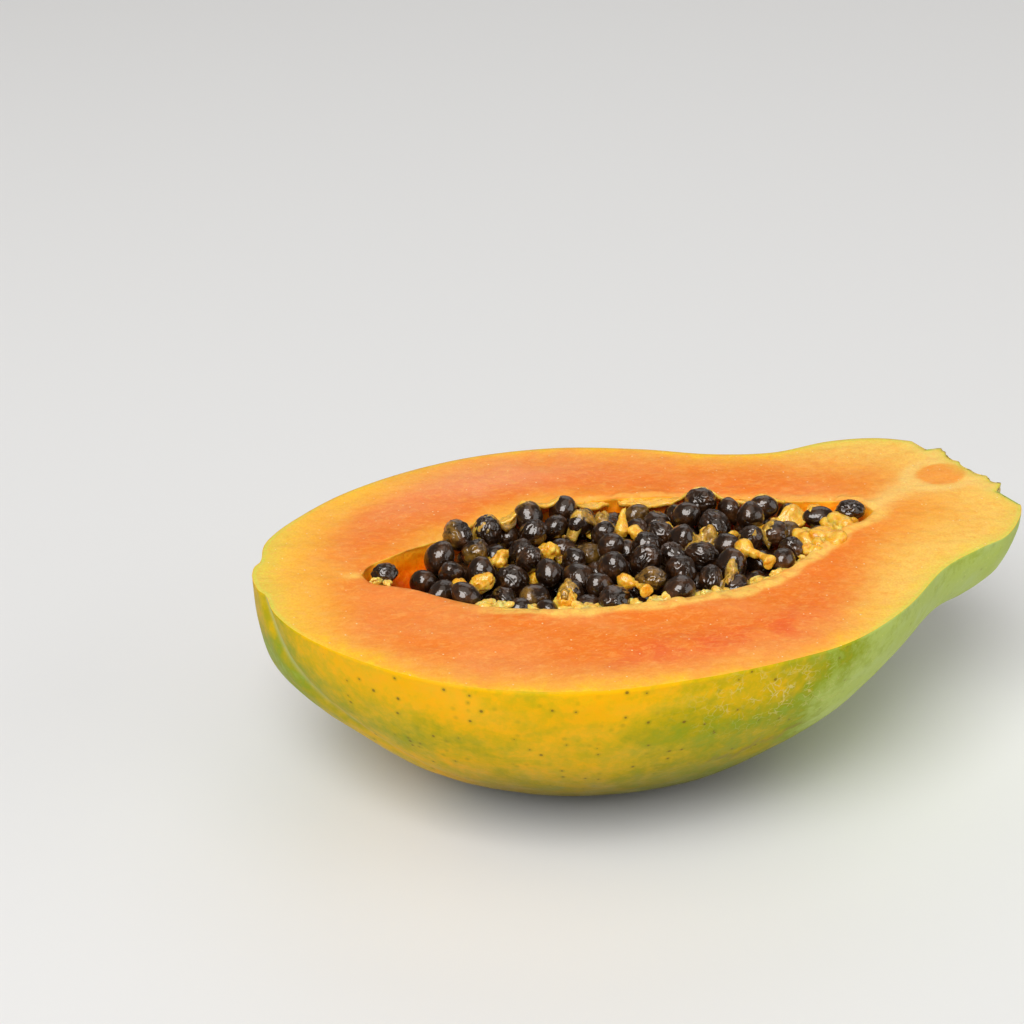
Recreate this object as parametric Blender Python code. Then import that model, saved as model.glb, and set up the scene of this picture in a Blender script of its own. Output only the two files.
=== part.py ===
"""Half of a ripe papaya, cut lengthwise and lying on its skin, with its seeds in the cavity.

The fruit is laid out in millimetres about its cut face: x runs from the blossom end to the stem
end, y across, and z is 0 on the cut face and negative in the flesh. place() then moves every point
to the part's own frame, in metres, whose origin is the middle of the small flat spot below.
"""
import math
import random

import bmesh
import bpy
import numpy as np
from mathutils import Euler, Matrix, Vector

MM = 0.001

# ---------------------------------------------------------------- driving dimensions, millimetres
CUT_HEIGHT = 46.8               # from the flat spot up to the cut face
REST_X = 72.0                   # where the flat spot lies along the fruit
REST_Y = 1.0

# (place along x, middle y, half width, depth under the cut face); the neck bends towards +y
SKIN_PROFILE = [
    (0.0, 0.0, 0.0, 0.0), (0.5, 1.0, 4.0, 11.0), (3.0, 1.6, 13.0, 20.0), (9.0, 0.5, 23.0, 25.5),
    (19.0, 0.4, 33.2, 32.0), (33.0, 0.0, 42.3, 40.6), (49.0, 0.0, 48.0, 45.6), (67.0, 0.0, 49.8, 47.4),
    (85.0, -0.2, 47.2, 46.4), (100.0, -0.5, 43.2, 40.4), (114.0, 1.8, 40.0, 32.8),
    (127.0, 9.2, 36.5, 25.8), (138.0, 16.4, 29.8, 22.0), (147.0, 18.4, 24.8, 20.6),
    (154.0, 19.0, 20.8, 17.0), (158.5, 19.0, 14.5, 11.4), (161.0, 19.2, 8.4, 6.0),
    (161.8, 20.0, 0.0, 0.0)]
SKIN_SEGMENTS = 48
SCAR_X = 154.6                  # the middle of the slanted cut where the stalk came off
SCAR_Y = 26.2
SCAR_HEADING = math.radians(25.0)

# five lobes run back from the blossom end, parted by shallow creases
LOBES = 5
LOBE_POLE_Y = -1.4              # the blossom scar was in the other half, above this cut face
LOBE_POLE_Z = 12.0
CREASE_DEPTH = 1.5
CREASE_WIDTH = 3.0
CREASE_FADE = 22.0              # a crease shallows out over this length along x
CREASE_PULL = 0.5               # a crease also draws the skin back along x, by this share

# (place along x, middle y, half width, depth)
CAVITY_PROFILE = [
    (22.0, -2.0, 0.0, 0.0), (24.6, -1.8, 4.1, 5.0), (33.0, -0.8, 8.6, 9.0), (44.0, -1.5, 14.6, 12.0),
    (60.0, 0.9, 20.6, 15.0), (76.0, 2.5, 21.8, 16.0), (94.0, 3.4, 19.6, 14.0), (106.0, 5.0, 15.4, 10.0),
    (115.0, 8.6, 10.0, 7.0), (122.0, 12.0, 6.0, 5.0), (127.0, 12.8, 3.8, 3.4), (130.0, 12.6, 0.0, 0.0)]
CAVITY_SEGMENTS = 40
CUTTER_RISE = 6.0               # the cavity's cutter stands this far over the cut face

# seeds and ovules
SEED_RADIUS = (2.6, 3.45)       # half the long axis, smallest and largest
SEED_GIRTH = (0.88, 0.82)       # the two short axes, as shares of the long one
LUMP_TAPER = 0.10               # how much thinner a seed's or an ovule's narrow end is
LOOSE_SEEDS = 48
SEED_FIELD = (38.0, 110.0)      # the loose seeds' middles lie between these places along x
START_MARGIN = 3.5              # and this far in from the sides of the cavity
CLEARANCE = 0.20                # between neighbours
NEAR_LEVEL = -2.2               # height of the seeds' middles at the near wall
FAR_LEVEL = 0.5                 # and at the far wall
LEVEL_SCATTER = 1.3

# the loose seeds are pushed apart in sweeps: they are drawn to their level in the first ones only
PACKING_SEED = 11
LEVEL_SWEEPS = 900
MOST_SWEEPS = 1300
LEVEL_PULL = 0.08               # share of the way to its level that a seed goes in one sweep
SWEEP_SHARE = 0.7               # share of each push that is carried out
STILL_ENOUGH = 1e-3             # the longest push when the sweeps may stop
WALL_SAMPLES = (111, 49)        # along the cavity and around it

# seeds that lie alone, along the fruit: (x, y, z, half the long axis)
LONE_SEEDS = [(26.7, -1.5, -0.5, 2.3), (118.0, 12.0, -0.2, 3.1), (125.0, 12.7, 0.7, 2.9)]

# golden ovules: (x, y, z), half length, girth as a share of it, heading and tilt in degrees
OVULES = [
    ((46.0, -7.5, -0.6), 2.7, 0.80, 10, 10),
    ((50.5, 1.5, -0.5), 2.4, 0.75, 60, 30),
    ((60.5, 2.5, 0.2), 2.5, 0.78, -20, 0),
    ((62.0, -15.5, -0.8), 2.6, 0.75, 15, 0),
    ((76.5, 12.0, 0.8), 3.6, 0.45, 50, 50),
    ((76.0, -13.0, 0.2), 4.6, 0.40, -70, 8),
    ((93.5, 5.5, 0.0), 2.6, 0.75, 35, 20),
    ((101.5, -4.5, 0.9), 5.0, 0.40, -65, 0)]


# ---------------------------------------------------------------- the fruit's form
def smooth_through(knots, t):
    """A Catmull-Rom curve through the knots, where t counts knots from 0."""
    last = len(knots) - 1
    i = min(int(t), last - 1)
    u = t - i
    b = np.array(knots[i])
    c = np.array(knots[i + 1])
    a = np.array(knots[i - 1]) if i > 0 else 2 * b - c
    d = np.array(knots[i + 2]) if i + 2 <= last else 2 * c - b
    return 0.5 * (2 * b + (c - a) * u + (2 * a - 5 * b + 4 * c - d) * u ** 2
                  + (3 * b - a - 3 * c + d) * u ** 3)


def profile_ring(profile, along):
    """Where a section lies along x, its middle y, its half width and its depth."""
    return smooth_through(profile, along * (len(profile) - 1))


def crease(point):
    """How far a crease between two lobes draws the skin in at this point."""
    dy = point.y - LOBE_POLE_Y
    dz = point.z - LOBE_POLE_Z
    reach = math.hypot(dy, dz)
    step = 2 * math.pi / LOBES
    turn = (math.atan2(dz, dy) + math.pi / 2) % step - step / 2
    groove = math.exp(-(turn * reach / CREASE_WIDTH) ** 2)
    return CREASE_DEPTH * groove * math.exp(-max(point.x, 0) / CREASE_FADE)


def skin_point(along, around):
    """A point of the skin, for 0 to 1 from the blossom end to the stem end and an angle around."""
    x, middle, half_width, depth = profile_ring(SKIN_PROFILE, along)
    outward = Vector((0, half_width * math.cos(around), depth * math.sin(around)))
    point = Vector((x, middle, 0)) + outward
    if outward.length > 0:
        drawn_in = crease(point)
        point -= outward.normalized() * drawn_in
        point.x += CREASE_PULL * drawn_in
    return point


def cavity_point(along, around):
    """A point of the cavity's wall or, above the cut face, of the straight sides of its cutter."""
    x, middle, half_width, depth = profile_ring(CAVITY_PROFILE, along)
    rise = depth if math.sin(around) < 0 else CUTTER_RISE
    return Vector((x, middle + half_width * math.cos(around), rise * math.sin(around)))


# ---------------------------------------------------------------- building tools
def clear_scene():
    for old in list(bpy.data.objects):
        bpy.data.objects.remove(old, do_unlink=True)


def make_collection(name):
    collection = bpy.data.collections.new(name)
    bpy.context.scene.collection.children.link(collection)
    return collection


def make_material(name, colour, roughness):
    material = bpy.data.materials.new(name)
    material.use_nodes = True
    shader = material.node_tree.nodes["Principled BSDF"]
    shader.inputs["Base Color"].default_value = (*colour, 1.0)
    shader.inputs["Roughness"].default_value = roughness
    shader.inputs["Metallic"].default_value = 0.0
    return material


def place(point):
    """From millimetres about the cut face to the part's own frame, in metres."""
    return Vector((point.x - REST_X, point.y - REST_Y, point.z + CUT_HEIGHT)) * MM


def finish_object(bm, name, collection, material):
    bm.normal_update()
    bmesh.ops.recalc_face_normals(bm, faces=bm.faces)
    for vert in bm.verts:
        vert.co = place(vert.co)
    mesh = bpy.data.meshes.new(name)
    bm.to_mesh(mesh)
    bm.free()
    mesh.shade_smooth()
    mesh.set_sharp_from_angle(angle=math.radians(40))
    obj = bpy.data.objects.new(name, mesh)
    collection.objects.link(obj)
    if material:
        mesh.materials.append(material)
    return obj


def sphere_onto(surface, rings, segments):
    """A UV sphere whose poles lie along x, each vertex moved to surface(along, around)."""
    bm = bmesh.new()
    bmesh.ops.create_uvsphere(bm, u_segments=segments, v_segments=rings, radius=1.0,
                              matrix=Matrix.Rotation(math.radians(90), 4, "Y"))
    for vert in bm.verts:
        along = math.acos(max(-1.0, min(1.0, -vert.co.x))) / math.pi
        vert.co = surface(along, math.atan2(vert.co.z, vert.co.y))
    return bm


def shave(bm, point, normal):
    """Cut off what lies beyond a plane, and close the cut with one flat face."""
    geometry = bm.verts[:] + bm.edges[:] + bm.faces[:]
    bmesh.ops.bisect_plane(bm, geom=geometry, dist=1e-5, plane_co=point, plane_no=normal,
                           clear_outer=True)
    rim = [edge for edge in bm.edges if edge.is_boundary]
    bmesh.ops.holes_fill(bm, edges=rim, sides=0)


# ---------------------------------------------------------------- the pieces
def make_cavity_cutter(cutters):
    bm = sphere_onto(cavity_point, 2 * (len(CAVITY_PROFILE) - 1), CAVITY_SEGMENTS)
    cutter = finish_object(bm, "cavity_cutter", cutters, None)
    cutter.hide_render = True
    cutter.display_type = "WIRE"
    return cutter


def make_fruit_half(parts, cutters, material):
    bm = sphere_onto(skin_point, 2 * (len(SKIN_PROFILE) - 1), SKIN_SEGMENTS)
    shave(bm, Vector((0, 0, 0)), Vector((0, 0, 1)))
    shave(bm, Vector((SCAR_X, SCAR_Y, 0)), Vector((math.cos(SCAR_HEADING), math.sin(SCAR_HEADING), 0)))
    shave(bm, Vector((0, 0, -CUT_HEIGHT)), Vector((0, 0, -1)))
    fruit = finish_object(bm, "fruit_half", parts, material)
    cut = fruit.modifiers.new("cavity", "BOOLEAN")
    cut.operation = "DIFFERENCE"
    cut.solver = "EXACT"
    cut.object = make_cavity_cutter(cutters)
    return fruit


def make_lump(name, centre, radii, turn, parts, material):
    """An egg-shaped body with the given half axes, its blunt end along its own +x."""
    bm = bmesh.new()
    bmesh.ops.create_icosphere(bm, subdivisions=2, radius=1.0)
    for vert in bm.verts:
        taper = 1.0 - LUMP_TAPER * max(-vert.co.x, 0.0)
        shaped = Vector((vert.co.x * radii[0], vert.co.y * radii[1] * taper, vert.co.z * radii[2] * taper))
        vert.co = turn @ shaped + centre
    return finish_object(bm, name, parts, material)


def wall_points():
    """Points all over the cavity's wall, to keep the seeds off it."""
    alongs = np.linspace(0, 1, WALL_SAMPLES[0])
    arounds = np.linspace(-math.pi, 0, WALL_SAMPLES[1])
    return np.array([cavity_point(a, b) for a in alongs for b in arounds])


def level_at(x, y):
    """The height of a seed's middle, which rises from the near wall to the far one."""
    knots = np.array(CAVITY_PROFILE)
    middle = np.interp(x, knots[:, 0], knots[:, 1])
    half_width = np.interp(x, knots[:, 0], knots[:, 2])
    share = np.clip((y - middle) / np.maximum(half_width, 1.0), -1, 1) / 2 + 0.5
    return NEAR_LEVEL + (FAR_LEVEL - NEAR_LEVEL) * share


def ovule_turn(heading, tilt):
    return Euler((0, -math.radians(tilt), math.radians(heading))).to_matrix()


def still_balls():
    """The bodies that the loose seeds make room for, as balls: the lone seeds and the ovules."""
    balls = [(x, y, z, radius) for x, y, z, radius in LONE_SEEDS]
    for centre, half_length, girth, heading, tilt in OVULES:
        axis = ovule_turn(heading, tilt) @ Vector((1, 0, 0))
        thick = half_length * girth
        for share in (-1, 0, 1):
            spot = Vector(centre) + axis * (share * (half_length - thick))
            balls.append((*spot, thick))
    return np.array(balls)


def scatter_seeds(rng):
    """Where the loose seeds start, each a row of x, y, z and radius, spread evenly along x."""
    knots = np.array(CAVITY_PROFILE)
    start, end = SEED_FIELD
    seeds = []
    for number in range(LOOSE_SEEDS):
        x = start + (end - start) * (number + rng.random()) / LOOSE_SEEDS
        room = np.interp(x, knots[:, 0], knots[:, 2]) - START_MARGIN
        y = np.interp(x, knots[:, 0], knots[:, 1]) + room * rng.uniform(-1, 1)
        seeds.append((x, y, level_at(x, y), rng.uniform(*SEED_RADIUS)))
    return np.array(seeds)


def push_from_others(seed, others):
    """The push on one seed from every ball that it is too close to, shared where both can move."""
    apart = seed[:3] - others[:, :3]
    distance = np.linalg.norm(apart, axis=1)
    too_close = (distance > 0) & (distance < seed[3] + others[:, 3] + CLEARANCE)
    push = np.zeros(3)
    for j in np.nonzero(too_close)[0]:
        share = 0.5 if j < LOOSE_SEEDS else 1.0
        deficit = seed[3] + others[j, 3] + CLEARANCE - distance[j]
        push += apart[j] / distance[j] * deficit * share
    return push


def push_from_wall(seed, wall):
    from_wall = seed[:3] - wall
    reach = np.linalg.norm(from_wall, axis=1)
    nearest = reach.argmin()
    short = max(seed[3] + CLEARANCE - reach[nearest], 0.0)
    return from_wall[nearest] / reach[nearest] * short


def pack_seeds(rng):
    """Scatter the loose seeds over the cavity, then push them apart until they have room."""
    wall = wall_points()
    still = still_balls()
    seeds = scatter_seeds(rng)
    scatter = np.array([rng.uniform(-1, 1) * LEVEL_SCATTER for _ in range(LOOSE_SEEDS)])
    for sweep in range(MOST_SWEEPS):
        others = np.vstack([seeds, still])
        pushes = [push_from_others(seed, others) + push_from_wall(seed, wall) for seed in seeds]
        pushes = np.array(pushes)
        pushes[:, 0] += np.clip(seeds[:, 0], *SEED_FIELD) - seeds[:, 0]
        if sweep < LEVEL_SWEEPS:
            pushes[:, 2] += LEVEL_PULL * (level_at(seeds[:, 0], seeds[:, 1]) + scatter - seeds[:, 2])
        elif np.abs(pushes).max() < STILL_ENOUGH:
            break
        seeds[:, :3] += pushes * SWEEP_SHARE
    return seeds


def any_turn(rng):
    return Euler([rng.uniform(0, 2 * math.pi) for _ in range(3)]).to_matrix()


def make_seeds(parts, material):
    rng = random.Random(PACKING_SEED)
    seeds = [(*seed, any_turn(rng)) for seed in pack_seeds(rng)]
    seeds += [(*seed, Matrix.Identity(3)) for seed in LONE_SEEDS]
    seeds.sort(key=lambda seed: seed[0])
    for number, (x, y, z, radius, turn) in enumerate(seeds, start=1):
        shape = (radius, radius * SEED_GIRTH[0], radius * SEED_GIRTH[1])
        make_lump(f"seed_{number:02d}", Vector((x, y, z)), shape, turn, parts, material)


def make_ovules(parts, material):
    for number, (centre, half_length, girth, heading, tilt) in enumerate(OVULES, start=1):
        shape = (half_length, half_length * girth, half_length * girth)
        make_lump(f"ovule_{number}", Vector(centre), shape, ovule_turn(heading, tilt), parts, material)


def main():
    clear_scene()
    parts = make_collection("papaya_half")
    cutters = make_collection("cutters")
    make_fruit_half(parts, cutters, make_material("flesh", (0.90, 0.32, 0.09), 0.42))
    make_seeds(parts, make_material("seed_coat", (0.025, 0.016, 0.012), 0.18))
    make_ovules(parts, make_material("ovule_skin", (0.80, 0.50, 0.12), 0.45))


main()
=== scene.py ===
"""Looks of the papaya half: skin, cut flesh, cavity, seeds, golden ovules and pulp.

The fruit's form is worked out in millimetres about its cut face, as in the CAD: x from the blossom
end to the stem end, y across, z = 0 on the cut face. to_frame() turns that into the frame's metres.
"""

import math
import random

import bmesh
import bpy
import numpy as np
from mathutils import Matrix, Vector


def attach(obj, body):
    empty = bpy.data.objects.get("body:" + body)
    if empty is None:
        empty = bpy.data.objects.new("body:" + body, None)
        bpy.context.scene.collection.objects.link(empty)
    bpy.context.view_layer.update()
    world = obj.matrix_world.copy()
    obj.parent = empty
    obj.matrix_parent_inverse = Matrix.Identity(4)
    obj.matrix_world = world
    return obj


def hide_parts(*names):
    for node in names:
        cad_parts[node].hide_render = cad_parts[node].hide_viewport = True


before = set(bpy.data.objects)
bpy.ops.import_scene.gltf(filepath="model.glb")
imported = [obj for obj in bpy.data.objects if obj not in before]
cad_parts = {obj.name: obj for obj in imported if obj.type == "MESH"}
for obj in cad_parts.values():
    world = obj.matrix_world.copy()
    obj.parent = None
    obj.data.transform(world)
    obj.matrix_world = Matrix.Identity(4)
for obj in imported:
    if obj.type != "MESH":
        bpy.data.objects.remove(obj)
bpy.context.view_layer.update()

MM = 0.001

# -------- the fruit's form, millimetres
CUT_HEIGHT = 46.8
REST_X = 72.0
REST_Y = 1.0
# knots of the skin and of the hollow: x, then the section's middle across, half width and depth
SKIN_PROFILE = np.array([
    (0.0, 0.0, 0.0, 0.0), (0.5, 1.0, 4.0, 11.0), (3.0, 1.6, 13.0, 20.0), (9.0, 0.5, 23.0, 25.5),
    (19.0, 0.4, 33.2, 32.0), (33.0, 0.0, 42.3, 40.6), (49.0, 0.0, 48.0, 45.6), (67.0, 0.0, 49.8, 47.4),
    (85.0, -0.2, 47.2, 46.4), (100.0, -0.5, 43.2, 40.4), (114.0, 1.8, 40.0, 32.8),
    (127.0, 9.2, 36.5, 25.8), (138.0, 16.4, 29.8, 22.0), (147.0, 18.4, 24.8, 20.6),
    (154.0, 19.0, 20.8, 17.0), (158.5, 19.0, 14.5, 11.4), (161.0, 19.2, 8.4, 6.0),
    (161.8, 20.0, 0.0, 0.0)])
CAVITY_PROFILE = np.array([
    (22.0, -2.0, 0.0, 0.0), (24.6, -1.8, 4.1, 5.0), (33.0, -0.8, 8.6, 9.0), (44.0, -1.5, 14.6, 12.0),
    (60.0, 0.9, 20.6, 15.0), (76.0, 2.5, 21.8, 16.0), (94.0, 3.4, 19.6, 14.0), (106.0, 5.0, 15.4, 10.0),
    (115.0, 8.6, 10.0, 7.0), (122.0, 12.0, 6.0, 5.0), (127.0, 12.8, 3.8, 3.4), (130.0, 12.6, 0.0, 0.0)])
SCAR_MIDDLE = np.array([154.6, 26.2])
SCAR_HEADING = math.radians(25.0)
# the torn collar around the scar, and its teeth at the cut face: place across it, half width and height
COLLAR_MIDDLE = 3.0
COLLAR_HALF_WIDTH = 11.0
COLLAR_DEPTH = 10.5
COLLAR_STANDS = 1.7
TEETH = ((-6.4, 1.0, 1.6), (-2.0, 0.8, 0.7), (6.1, 1.0, 1.9), (9.9, 0.8, 1.0), (13.4, 0.6, 0.7))
TEETH_FADE = 3.0
CAVITY_TIP = np.array([129.0, 13.2])
CORE_MIDDLE = np.array([148.2, 27.2])
CORE_HALF_LENGTH = 6.4
CORE_HALF_WIDTH = 5.0
LOBES = 5
LOBE_POLE_Y = -1.4
LOBE_POLE_Z = 12.0
CREASE_DEPTH = 1.5
CREASE_WIDTH = 2.4
CREASE_FADE = 22.0
CREASE_PULL = 0.5
# the depth at which the cavity wall has its deepest, darkest colour (partly its own redder colour, partly
# painted shade of the hollow), and how far its lip sinks
DEEP = 12.0
LIP_DROP = 0.25

# the seeds: how much larger the coat is than the solid along each axis, the share of shrivelled ones,
# the flatter ones at the stem end, and the amber pulp that clings to some
COAT_GROWTH = (1.20, 1.13, 1.10)
WRINKLED_SHARE = 0.42
STEM_SEEDS_FROM = 115.0
STEM_SEED_SHAPE = (0.95, 0.80, 0.78)
STEM_SEED_DROP = 0.4
AMBER_AT_FAR_WALL = 0.60
AMBER_ELSEWHERE = 0.10
FAR_WALL_REACH = 7.0
AMBER_FROM = 34.0
AMBER_TO = 112.0
AMBER_BULGE = 0.06
LOWER_SEED_RADII = (2.6, 2.15)
LOWER_SEED_HEIGHTS = (-12.0, -1.6)
LOWER_SEEDS_FROM = 34.0

# the fruit's materials in the order of its slots, and how much must be torn off to show the scar
SKIN, FLESH, WALL, SCAR = range(4)
LEAST_TORN = 0.15

# mesh density of the fruit: rows along it, and columns around each of its surfaces
ROWS = 310
SKIN_COLUMNS = 138
CUT_COLUMNS = 44
WALL_COLUMNS = 84


# -------- maths
def smooth_through(knots, t):
    """A Catmull-Rom curve through the knots, where each t counts knots from 0."""
    t = np.asarray(t, float)
    last = len(knots) - 1
    i = np.minimum(t.astype(int), last - 1)
    u = (t - i)[..., None]
    padded = np.vstack([2 * knots[0] - knots[1], knots, 2 * knots[-1] - knots[-2]])
    a, b, c, d = (padded[i + k] for k in range(4))
    return 0.5 * (2 * b + (c - a) * u + (2 * a - 5 * b + 4 * c - d) * u ** 2
                  + (3 * b - a - 3 * c + d) * u ** 3)


def lattice_value(ix, iy, iz, seed):
    """A steady number from -1 to 1 for each whole-number lattice corner."""
    mixed = (ix * 73856093) ^ (iy * 19349663) ^ (iz * 83492791) ^ (seed * 2654435761)
    mixed = (mixed ^ (mixed >> 13)) * 1274126177
    mixed = mixed ^ (mixed >> 16)
    return (mixed & 0xFFFF) / 32767.5 - 1.0


def soft_noise(points, size, seed=0):
    """Smooth noise from about -1 to 1, with lumps of the given size (one number or one per axis)."""
    scaled = np.asarray(points, float) / np.asarray(size, float) + 1000.0
    base = np.floor(scaled).astype(np.int64)
    part = scaled - base
    part = part * part * (3 - 2 * part)
    total = 0.0
    for corner in range(8):
        step = np.array([corner & 1, corner >> 1 & 1, corner >> 2 & 1])
        weight = np.prod(np.where(step == 1, part, 1 - part), axis=-1)
        ix, iy, iz = (base[..., k] + step[k] for k in range(3))
        total = total + weight * lattice_value(ix, iy, iz, seed)
    return total


def rough_noise(points, size, seed=0, octaves=3):
    """Soft noise with finer noise on it."""
    return sum(soft_noise(points, np.asarray(size) / 2 ** k, seed + k) / 2 ** k for k in range(octaves))


def step_between(low, high, value):
    """0 below low, 1 above high and smooth between."""
    share = np.clip((value - low) / (high - low), 0, 1)
    return share * share * (3 - 2 * share)


def bell(value, middle, width):
    return np.exp(-((value - middle) / width) ** 2)


def to_frame(points):
    """Millimetres about the cut face to the frame's metres."""
    return (np.asarray(points) + (-REST_X, -REST_Y, CUT_HEIGHT)) * MM


def to_fruit(points):
    """The frame's metres to millimetres about the cut face."""
    return np.asarray(points) / MM - (-REST_X, -REST_Y, CUT_HEIGHT)


# -------- mesh tools
def new_object(name, mesh):
    obj = bpy.data.objects.new(name, mesh)
    bpy.context.scene.collection.objects.link(obj)
    return obj


def mesh_object(name, points_mm, faces, materials, face_material=None, attributes=None):
    """A smooth-shaded object from points in fruit millimetres."""
    mesh = bpy.data.meshes.new(name)
    mesh.from_pydata(to_frame(points_mm).tolist(), [], [list(face) for face in faces])
    for material in materials:
        mesh.materials.append(material)
    if face_material is not None:
        mesh.polygons.foreach_set("material_index", np.asarray(face_material, np.int32))
    for key, values in (attributes or {}).items():
        layer = mesh.attributes.new(key, "FLOAT", "POINT")
        layer.data.foreach_set("value", np.asarray(values, np.float32))
    mesh.shade_smooth()
    return new_object(name, mesh)


def ball(subdivisions):
    """Points and faces of an icosphere of radius 1."""
    bm = bmesh.new()
    bmesh.ops.create_icosphere(bm, subdivisions=subdivisions, radius=1.0)
    points = np.array([vert.co[:] for vert in bm.verts])
    faces = [[vert.index for vert in face.verts] for face in bm.faces]
    bm.free()
    return points, faces


# -------- material tools
def srgb(red, green, blue):
    """A colour picked on a screen, 0 to 255, as the linear colour that shaders use."""
    parts = [value / 255 for value in (red, green, blue)]
    return tuple(p / 12.92 if p <= 0.04045 else ((p + 0.055) / 1.055) ** 2.4 for p in parts) + (1.0,)


class Surface:
    """A material with short calls for the nodes used here. Lengths in its textures are millimetres."""

    def __init__(self, name):
        self.material = bpy.data.materials.new(name)
        self.material.use_nodes = True
        self.tree = self.material.node_tree
        self.shader = self.tree.nodes["Principled BSDF"]
        place = self.put("ShaderNodeTexCoord").outputs["Object"]
        self.place = self.put("ShaderNodeVectorMath", {0: place, 1: (1 / MM,) * 3},
                              operation="MULTIPLY").outputs[0]

    def put(self, kind, sockets=None, **settings):
        """Add a node. Each socket is given a value, or an output to link to it."""
        node = self.tree.nodes.new(kind)
        for key, value in settings.items():
            setattr(node, key, value)
        for key, value in (sockets or {}).items():
            if isinstance(value, bpy.types.NodeSocket):
                self.tree.links.new(value, node.inputs[key])
            else:
                node.inputs[key].default_value = value
        return node

    def set(self, **values):
        """Constants on the shader's own sockets: subsurface_weight=0.3 and so on."""
        for key, value in values.items():
            self.shader.inputs[key.replace("_", " ").title().replace("Ior", "IOR")].default_value = value

    def drive(self, socket, output):
        self.tree.links.new(output, self.shader.inputs[socket])

    def rough(self, size, low, high):
        """Roughness that wanders from low to high in patches of about size millimetres."""
        self.drive("Roughness", self.between(self.noise(size, 3), 0.3, 0.7, low, high))

    def attribute(self, name):
        return self.put("ShaderNodeAttribute", attribute_name=name).outputs["Fac"]

    def noise(self, size, detail=3.0, roughness=0.5, distortion=0.0, stretch=None):
        """Noise from 0 to 1 whose lumps are about size millimetres, longer along a stretched axis."""
        place = self.place
        if stretch:
            shrink = tuple(1 / s for s in stretch)
            place = self.put("ShaderNodeVectorMath", {0: place, 1: shrink}, operation="MULTIPLY").outputs[0]
        sockets = {"Vector": place, "Scale": 1 / size, "Detail": detail, "Roughness": roughness,
                   "Distortion": distortion}
        return self.put("ShaderNodeTexNoise", sockets).outputs[0]

    def cells(self, size, feature="F1", output="Distance", vector=None, randomness=1.0):
        sockets = {"Vector": vector or self.place, "Scale": 1 / size, "Randomness": randomness}
        return self.put("ShaderNodeTexVoronoi", sockets, feature=feature).outputs[output]

    def math(self, operation, a, b=0.0):
        return self.put("ShaderNodeMath", {0: a, 1: b}, operation=operation).outputs[0]

    def between(self, value, low, high, to_low=0.0, to_high=1.0):
        """value mapped smoothly from low..high to to_low..to_high, and clamped."""
        sockets = {"Value": value, "From Min": low, "From Max": high, "To Min": to_low, "To Max": to_high}
        return self.put("ShaderNodeMapRange", sockets, interpolation_type="SMOOTHSTEP").outputs[0]

    def ramp(self, value, stops):
        node = self.put("ShaderNodeValToRGB", {0: value})
        elements = node.color_ramp.elements
        while len(elements) < len(stops):
            elements.new(0.5)
        for element, (position, colour) in zip(elements, stops):
            element.position = position
            element.color = colour
        return node.outputs["Color"]

    def mix(self, factor, a, b, mode="MIX"):
        node = self.put("ShaderNodeMix", data_type="RGBA", blend_type=mode)
        for index, value in ((0, factor), (6, a), (7, b)):
            if isinstance(value, bpy.types.NodeSocket):
                self.tree.links.new(value, node.inputs[index])
            else:
                node.inputs[index].default_value = value
        return node.outputs[2]

    def bump(self, height, depth, normal=None):
        """A bump of the given depth in millimetres."""
        sockets = {"Height": height, "Distance": depth * MM, "Strength": 1.0}
        if normal:
            sockets["Normal"] = normal
        return self.put("ShaderNodeBump", sockets).outputs[0]


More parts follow.
